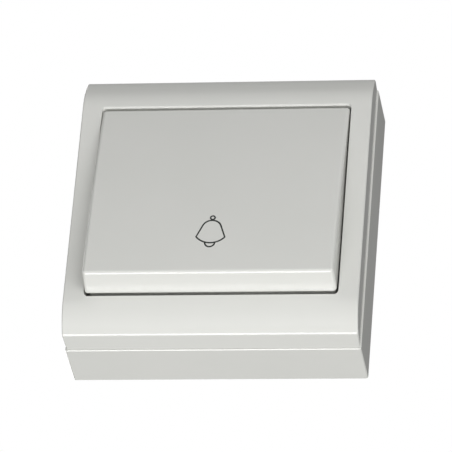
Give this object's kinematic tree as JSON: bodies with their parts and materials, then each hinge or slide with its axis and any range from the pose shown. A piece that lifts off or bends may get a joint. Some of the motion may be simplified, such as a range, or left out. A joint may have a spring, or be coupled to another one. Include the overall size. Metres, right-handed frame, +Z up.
{
  "type": "doorbell push button",
  "caption": "Surface-mounted doorbell push: square drafted box, rolled clip-on frame and a large tilted key that rocks on a hidden pivot to close a bell circuit.",
  "frame": {"origin": "centre of the flat rear face, where the box meets the wall", "axes": "+X to the right as seen from the front, +Y back into the wall, +Z up; the key faces -Y"},
  "size_m": [0.0706, 0.0287, 0.0726],
  "materials": {
    "white_plastic": "satin gloss",
    "rocker_plastic": "moulded",
    "body_plastic": "moulded",
    "plunger_plastic": "moulded",
    "zinc_steel": "zinc plated",
    "spring_steel": "drawn wire",
    "brass_strip": "stamped",
    "bronze": "stamped",
    "silver": "bright"
  },
  "bodies": {
    "base": {"back_box": "white_plastic", "front_frame": "white_plastic", "support_plate": "zinc_steel", "switch_body": "body_plastic", "switch_cover": "rocker_plastic", "return_spring": "spring_steel", "plate_screw_left": "zinc_steel", "cover_screw_left": "zinc_steel", "contact_strip_left": "brass_strip", "fixed_tip_left": "silver", "clamp_washer_left": "zinc_steel", "terminal_screw_left": "zinc_steel", "plate_screw_right": "zinc_steel", "cover_screw_right": "zinc_steel", "contact_strip_right": "brass_strip", "fixed_tip_right": "silver", "clamp_washer_right": "zinc_steel", "terminal_screw_right": "zinc_steel"},
    "key_unit": {"push_key": "white_plastic", "rocker": "rocker_plastic"},
    "plunger_unit": {"plunger": "plunger_plastic", "contact_bridge": "bronze", "bridge_tip_left": "silver", "bridge_tip_right": "silver"}
  },
  "joints": [
    {"name": "key_press", "type": "hinge", "parent": "base", "child": "key_unit", "pos_m": [0, -0.016, 0], "axis": [1, 0, 0], "range_deg": [0, 7], "stiffness_Nm_per_rad": 0.06, "springref_deg": -8.59},
    {"name": "plunger_slide", "type": "slide", "parent": "base", "child": "plunger_unit", "axis": [0, 1, 0], "range_m": [0, 0.00118], "deforming": ["return_spring"]}
  ],
  "couplings": [
    {"joint": "plunger_slide", "follows": "key_press", "m_per_rad": 0.009}
  ]
}
